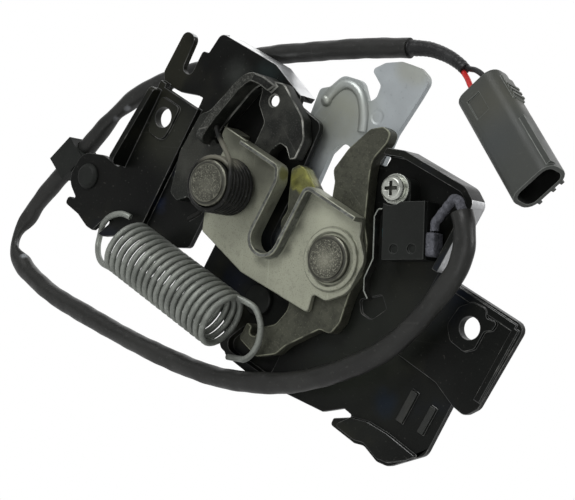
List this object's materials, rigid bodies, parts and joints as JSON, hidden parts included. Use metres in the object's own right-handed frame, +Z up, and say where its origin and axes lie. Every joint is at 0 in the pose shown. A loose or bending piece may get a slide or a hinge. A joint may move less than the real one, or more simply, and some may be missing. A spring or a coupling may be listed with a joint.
{
  "type": "bonnet latch",
  "caption": "Bonnet latch with a sprung fork, release pawl, safety hook, bonnet switch and sleeved lead with plug.",
  "frame": {"origin": "midway between the two mounting holes, in the plane of the ears' back faces", "axes": "+X along the line of the mounting holes towards the switch side, -Y out of the latch's front, +Z up, the way the striker slot opens"},
  "size_m": [0.2091, 0.0397, 0.1531],
  "materials": {
    "black_coat": "satin",
    "zinc": "satin",
    "pin_steel": "satin",
    "oiled_steel": "satin",
    "dark_wire": "satin",
    "grey_wire": "satin",
    "bright_zinc": "satin",
    "black_plastic": "matte",
    "teal_plastic": "gloss",
    "grey_foam": "matte",
    "sleeve_vinyl": "satin",
    "red_wire": "gloss",
    "grey_plastic": "satin",
    "tinned_brass": "satin"
  },
  "bodies": {
    "frame": {"base_bracket": "black_coat", "cover_plate": "zinc", "ratchet_pin": "pin_steel", "pawl_pin": "pin_steel", "spring_seat": "black_plastic", "pawl_spring": "dark_wire", "ratchet_spring": "grey_wire", "hook_pin": "pin_steel", "hook_spacer": "pin_steel", "hook_spring": "grey_wire", "hook_cap": "pin_steel", "switch_body": "black_plastic", "switch_cover": "black_plastic", "switch_plunger": "teal_plastic", "switch_screw": "bright_zinc", "switch_washer": "bright_zinc", "lead_block": "grey_foam", "lead_tail": "grey_foam", "sleeve": "sleeve_vinyl", "sleeve_tape": "sleeve_vinyl", "lead_clip": "black_plastic", "clip_stud": "black_plastic", "wire_red": "red_wire", "wire_black": "sleeve_vinyl", "plug_shell": "grey_plastic", "plug_core": "grey_plastic", "plug_seal": "sleeve_vinyl", "plug_blade_a": "tinned_brass", "plug_blade_b": "tinned_brass"},
    "ratchet": {"ratchet": "oiled_steel"},
    "pawl": {"pawl": "oiled_steel"},
    "safety_hook": {"safety_hook": "bright_zinc"},
    "leaf": {"switch_leaf": "bright_zinc"}
  },
  "joints": [
    {"name": "ratchet_turn", "type": "hinge", "parent": "frame", "child": "ratchet", "pos_m": [0.019, 0, -0.006], "axis": [0, -1, 0], "range_deg": [0, 32], "stiffness_Nm_per_rad": 0.9, "springref_deg": -51.57, "deforming": ["ratchet_spring"]},
    {"name": "pawl_turn", "type": "hinge", "parent": "frame", "child": "pawl", "pos_m": [-0.0274, 0, -0.005], "axis": [0, -1, 0], "range_deg": [0, 14], "stiffness_Nm_per_rad": 0.8, "springref_deg": -51.57, "deforming": ["pawl_spring"]},
    {"name": "hook_turn", "type": "hinge", "parent": "frame", "child": "safety_hook", "pos_m": [-0.003, 0, -0.0333], "axis": [0, 1, 0], "range_deg": [0, 9], "stiffness_Nm_per_rad": 0.8, "springref_deg": -51.57, "deforming": ["hook_spring"]},
    {"name": "leaf_press", "type": "hinge", "parent": "frame", "child": "leaf", "pos_m": [0.02647, 0, 0.01542], "axis": [0, -1, 0], "range_deg": [0, 5], "stiffness_Nm_per_rad": 0.02, "springref_deg": -28.65}
  ]
}
